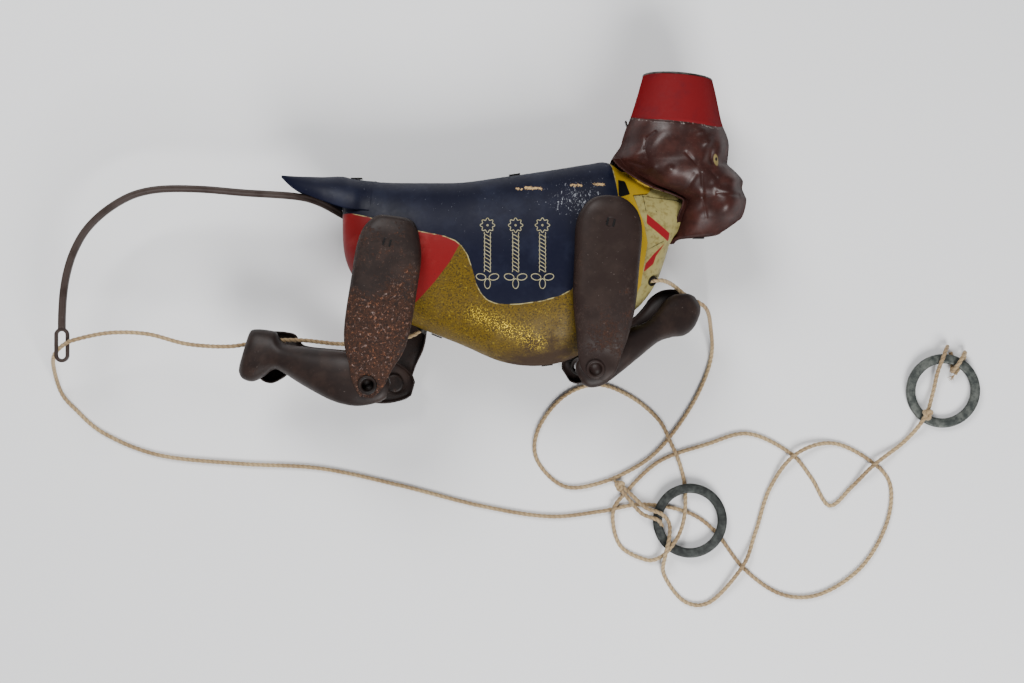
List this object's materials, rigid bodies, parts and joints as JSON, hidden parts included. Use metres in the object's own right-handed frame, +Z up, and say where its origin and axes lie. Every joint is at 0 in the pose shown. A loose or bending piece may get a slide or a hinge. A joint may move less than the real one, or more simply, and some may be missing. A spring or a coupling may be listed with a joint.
{
  "type": "string-climbing monkey toy",
  "caption": "Pressed-tin climbing monkey with jointed limbs, a wire tail with an eye, an inner string drum, and two pull strings that end in rings.",
  "frame": {"origin": "middle of the toy's box, without its strings and rings, at the surface it lies on", "axes": "+X towards the head, +Y towards the back, +Z up through the near side, along the axles"},
  "size_m": [0.3837, 0.2175, 0.057],
  "materials": {
    "printed_body_tin": "lithographed, worn satin",
    "jacket_tin": "lithographed, worn satin",
    "head_tin": "glossy lithographed",
    "cap_tin": "dull, tarnished",
    "limb_tin": "dull, worn",
    "rusty_limb_tin": "worn and rusted",
    "tail_steel": "dull, rusted",
    "dark_steel": "dull, tarnished",
    "bare_tin": "satin",
    "string": "twisted string",
    "ring_zinc": "oxidised"
  },
  "bodies": {
    "root": {"body_shell_near": "printed_body_tin", "body_shell_far": "printed_body_tin", "jacket_tail_near": "jacket_tin", "jacket_tail_far": "jacket_tin", "head_shell_near": "head_tin", "head_shell_far": "head_tin", "fez_cap": "cap_tin", "body_tabs": "dark_steel", "head_tabs": "dark_steel", "neck_tabs": "dark_steel", "tail": "tail_steel", "tail_rivet": "dark_steel", "chest_eyelet": "dark_steel", "rear_eyelet": "dark_steel", "frame_near": "bare_tin", "frame_far": "bare_tin", "frame_posts": "bare_tin", "axle_bushes": "dark_steel", "upper_string": "string", "lower_string": "string", "upper_hitch": "string", "lower_hitch": "string", "upper_ring": "ring_zinc", "lower_ring": "ring_zinc"},
    "drum": {"drum_axle": "bare_tin", "string_drum": "bare_tin", "upper_winding": "string", "lower_winding": "string"},
    "near_arm": {"shoulder_axle": "dark_steel", "near_upper_arm": "rusty_limb_tin", "near_elbow_eyelet": "dark_steel", "near_elbow_spring": "dark_steel"},
    "far_arm": {"far_upper_arm": "rusty_limb_tin", "far_elbow_eyelet": "dark_steel", "far_elbow_spring": "dark_steel"},
    "near_forearm": {"near_forearm": "limb_tin"},
    "far_forearm": {"far_forearm": "limb_tin"},
    "near_leg": {"hip_axle": "dark_steel", "near_thigh": "rusty_limb_tin", "near_knee_eyelet": "dark_steel"},
    "far_leg": {"far_thigh": "rusty_limb_tin", "far_knee_eyelet": "dark_steel"},
    "near_shin": {"near_shin": "limb_tin"},
    "far_shin": {"far_shin": "limb_tin"}
  },
  "joints": [
    {"name": "drum_spin", "type": "hinge", "parent": "root", "child": "drum", "pos_m": [0.08, -0.0215, 0.0285], "axis": [0, 0, 1], "continuous": true},
    {"name": "near_shoulder", "type": "hinge", "parent": "root", "child": "near_arm", "pos_m": [0.0827, 0.0036, 0.0285], "axis": [0, 0, 1], "range_deg": [-4, 20]},
    {"name": "far_shoulder", "type": "hinge", "parent": "root", "child": "far_arm", "pos_m": [0.0827, 0.0036, 0.0285], "axis": [0, 0, 1], "range_deg": [-4, 20]},
    {"name": "near_elbow", "type": "hinge", "parent": "near_arm", "child": "near_forearm", "pos_m": [0.07709, -0.05262, 0.0285], "axis": [0, 0, 1], "range_deg": [-30, 1]},
    {"name": "far_elbow", "type": "hinge", "parent": "far_arm", "child": "far_forearm", "pos_m": [0.07299, -0.05206, 0.0285], "axis": [0, 0, 1], "range_deg": [-30, 1]},
    {"name": "near_hip", "type": "hinge", "parent": "root", "child": "near_leg", "pos_m": [-0.0027, -0.0041, 0.0285], "axis": [0, 0, 1], "range_deg": [-18, 18]},
    {"name": "far_hip", "type": "hinge", "parent": "root", "child": "far_leg", "pos_m": [-0.0027, -0.0041, 0.0285], "axis": [0, 0, 1], "range_deg": [-18, 18]},
    {"name": "near_knee", "type": "hinge", "parent": "near_leg", "child": "near_shin", "pos_m": [-0.01048, -0.05875, 0.0285], "axis": [0, 0, 1], "range_deg": [-30, 20]},
    {"name": "far_knee", "type": "hinge", "parent": "far_leg", "child": "far_shin", "pos_m": [-0.00347, -0.0593, 0.0285], "axis": [0, 0, 1], "range_deg": [-30, 20]}
  ],
  "couplings": [
    {"joint": "far_shoulder", "follows": "near_shoulder", "ratio": 1},
    {"joint": "far_hip", "follows": "near_hip", "ratio": 1}
  ]
}
